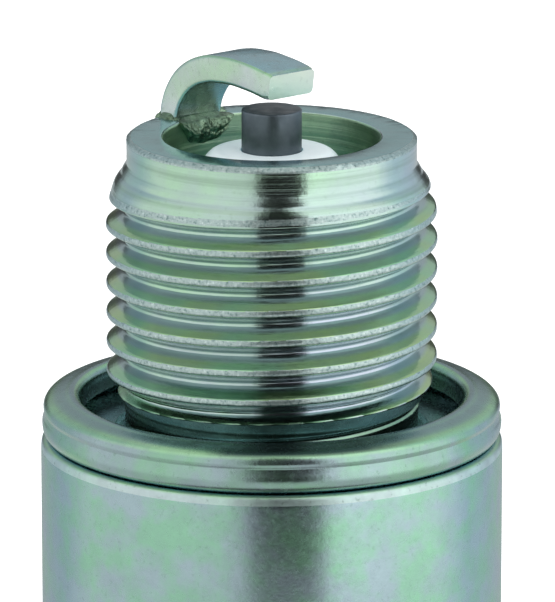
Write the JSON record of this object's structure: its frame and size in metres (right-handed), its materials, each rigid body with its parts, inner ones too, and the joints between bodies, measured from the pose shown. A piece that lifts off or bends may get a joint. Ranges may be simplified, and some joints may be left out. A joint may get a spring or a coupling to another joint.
{
  "type": "spark plug",
  "caption": "Threaded spark plug with a captive folded gasket, hexagonal steel body, white ribbed ceramic insulator, hooked side electrode and a removable terminal nut.",
  "frame": {"origin": "centre of the gasket's sealing face, where the plug meets the cylinder head", "axes": "+Z along the plug's axis towards the firing end, which is up in the picture; -Y faces the camera; two wrench flats face +X and -X"},
  "size_m": [0.0208, 0.024, 0.0646],
  "materials": {
    "zinc_plated_steel": "satin bright zinc with a thin iridescent chromate",
    "nickel_alloy": "satin nickel alloy, side electrode",
    "weld_metal": "dark rough weld metal",
    "gasket_steel": "satin plated sheet steel",
    "alumina": "white alumina, glazed outside",
    "electrode_nickel": "dark satin nickel alloy",
    "copper": "bare copper",
    "conductive_glass": "fused conductive glass",
    "resistor_mix": "carbon and ceramic mix",
    "stud_steel": "bright plated steel",
    "nut_nickel_plate": "bright nickel plate",
    "washer_steel": "bare soft steel",
    "talc": "pressed powder",
    "ring_steel": "bare steel wire"
  },
  "bodies": {
    "plug": {"metal_shell": "zinc_plated_steel", "ground_electrode": "nickel_alloy", "ground_electrode_weld": "weld_metal", "insulator": "alumina", "center_electrode": "electrode_nickel", "center_electrode_copper_core": "copper", "lower_glass_seal": "conductive_glass", "resistor_element": "resistor_mix", "upper_glass_seal": "conductive_glass", "terminal_stud": "stud_steel", "lower_packing_washer": "washer_steel", "talc_ring": "talc", "packing_ring_lower": "ring_steel", "packing_ring_upper": "ring_steel"},
    "gasket": {"sealing_gasket": "gasket_steel"},
    "nut": {"terminal_nut": "nut_nickel_plate"}
  },
  "joints": [
    {"name": "gasket_float", "type": "slide", "parent": "plug", "child": "gasket", "axis": [0, 0, 1], "range_m": [0, 0.0016]},
    {"name": "nut_unscrew", "type": "slide", "parent": "plug", "child": "nut", "axis": [0, 0, -1], "range_m": [0, 0.0095]}
  ]
}
